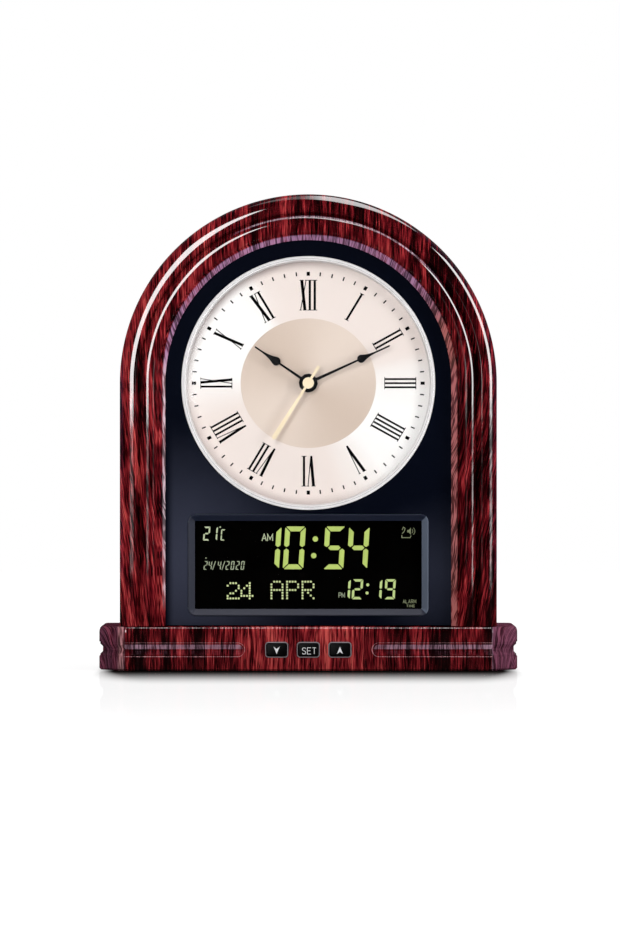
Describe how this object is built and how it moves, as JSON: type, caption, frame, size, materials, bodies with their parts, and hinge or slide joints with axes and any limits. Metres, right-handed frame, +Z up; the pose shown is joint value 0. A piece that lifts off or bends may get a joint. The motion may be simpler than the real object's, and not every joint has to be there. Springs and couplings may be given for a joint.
{
  "type": "azan clock",
  "caption": "Mantel clock in an arched housing on a fluted plinth, with a quartz dial, a lit digital display, push buttons and a speaker.",
  "frame": {"origin": "on the surface the clock stands on, under the middle of its bounding box", "axes": "+Z up, the dial faces -Y, +X to the right as seen from the front"},
  "size_m": [0.246, 0.071, 0.2795],
  "materials": {
    "acetal": "natural acetal",
    "black_plastic": "fine moulded texture",
    "board": "green solder mask",
    "brass": "turned",
    "cell_sleeve": "plain printed sleeve",
    "clear_lens": "clear polished acrylic",
    "dial_face": "cream dial with a sunburst sheen",
    "dial_trim": "pale gloss moulding",
    "hand_black": "satin black",
    "hand_gold": "pale gold satin",
    "light_guide": "white light guide",
    "magnet": "sintered grey",
    "panel_satin": "satin dark blue-grey sheet",
    "paper": "pressed paper",
    "rubber": "moulded rubber",
    "screen": "black display glass",
    "steel": "zinc plated",
    "wood_film": "high gloss printed wood-effect film over moulded ABS"
  },
  "bodies": {
    "housing": {"arch_case": "wood_film", "back_cover": "black_plastic", "back_screw_1": "steel", "back_screw_2": "steel", "back_screw_3": "steel", "back_screw_4": "steel", "back_screw_5": "steel", "back_screw_6": "steel", "base_case": "wood_film", "base_plate": "black_plastic", "base_screw_left_front": "steel", "base_screw_left_rear": "steel", "base_screw_right_front": "steel", "base_screw_right_rear": "steel", "battery_cell_1": "cell_sleeve", "battery_cell_2": "cell_sleeve", "battery_cell_3": "cell_sleeve", "dc_jack": "black_plastic", "dial_lens": "clear_lens", "dial_nut": "brass", "dial_plate": "dial_face", "dial_ring": "dial_trim", "foot_pad_left_front": "rubber", "foot_pad_left_rear": "rubber", "foot_pad_right_front": "rubber", "foot_pad_right_rear": "rubber", "front_panel": "panel_satin", "jack_nut": "steel", "key_board": "board", "lcd_backlight": "light_guide", "lcd_bezel": "black_plastic", "lcd_cell": "screen", "lcd_window": "clear_lens", "main_board": "board", "motor_coil": "magnet", "movement_cell": "cell_sleeve", "movement_front": "black_plastic", "movement_rear": "black_plastic", "speaker_basket": "steel", "speaker_cone": "paper", "speaker_magnet": "magnet", "switch_down": "black_plastic", "switch_set": "black_plastic", "switch_up": "black_plastic"},
    "hour": {"hour_hand": "hand_black", "hour_wheel": "acetal"},
    "minute": {"minute_hand": "hand_black", "minute_arbor": "acetal"},
    "second": {"second_hand": "hand_gold", "second_arbor": "steel"},
    "centre": {"centre_wheel": "acetal"},
    "third": {"third_wheel": "acetal"},
    "setting": {"setting_wheel": "acetal", "setting_knob": "acetal"},
    "key_down": {"button_down": "black_plastic"},
    "key_set": {"button_set": "black_plastic"},
    "key_up": {"button_up": "black_plastic"},
    "door": {"battery_door": "black_plastic"},
    "step": {"step_wheel": "acetal"},
    "rotor": {"rotor": "acetal"}
  },
  "joints": [
    {"name": "minute_spin", "type": "hinge", "parent": "housing", "child": "minute", "pos_m": [0, -0.0217, 0.169], "axis": [0, 1, 0], "continuous": true},
    {"name": "hour_spin", "type": "hinge", "parent": "housing", "child": "hour", "pos_m": [0, -0.0217, 0.169], "axis": [0, 1, 0], "continuous": true},
    {"name": "setting_spin", "type": "hinge", "parent": "housing", "child": "setting", "pos_m": [0.004, 0, 0.17593], "axis": [0, 1, 0], "continuous": true},
    {"name": "second_spin", "type": "hinge", "parent": "housing", "child": "second", "pos_m": [0, -0.0217, 0.169], "axis": [0, 1, 0], "continuous": true},
    {"name": "third_spin", "type": "hinge", "parent": "housing", "child": "third", "pos_m": [-0.00599, -0.008, 0.16682], "axis": [0, 1, 0], "continuous": true},
    {"name": "centre_spin", "type": "hinge", "parent": "housing", "child": "centre", "pos_m": [0, -0.0098, 0.169], "axis": [0, 1, 0], "continuous": true},
    {"name": "press_down", "type": "slide", "parent": "housing", "child": "key_down", "axis": [0, 1, 0], "range_m": [0, 0.0006], "stiffness_N_per_m": 400, "springref_m": -0.002},
    {"name": "press_set", "type": "slide", "parent": "housing", "child": "key_set", "axis": [0, 1, 0], "range_m": [0, 0.0006], "stiffness_N_per_m": 400, "springref_m": -0.002},
    {"name": "press_up", "type": "slide", "parent": "housing", "child": "key_up", "axis": [0, 1, 0], "range_m": [0, 0.0006], "stiffness_N_per_m": 400, "springref_m": -0.002},
    {"name": "door_pull", "type": "slide", "parent": "housing", "child": "door", "axis": [0, 1, 0], "range_m": [0, 0.03]},
    {"name": "step_spin", "type": "hinge", "parent": "housing", "child": "step", "pos_m": [-0.00154, -0.005, 0.17323], "axis": [0, 1, 0], "continuous": true},
    {"name": "rotor_spin", "type": "hinge", "parent": "housing", "child": "rotor", "pos_m": [-0.00364, -0.004, 0.17687], "axis": [0, 1, 0], "continuous": true}
  ],
  "couplings": [
    {"joint": "hour_spin", "follows": "minute_spin", "ratio": 0.083333},
    {"joint": "setting_spin", "follows": "minute_spin", "ratio": -0.33333},
    {"joint": "step_spin", "follows": "rotor_spin", "ratio": -0.16667},
    {"joint": "second_spin", "follows": "rotor_spin", "ratio": 0.033333},
    {"joint": "third_spin", "follows": "rotor_spin", "ratio": -0.0044444},
    {"joint": "centre_spin", "follows": "rotor_spin", "ratio": 0.00055556}
  ]
}
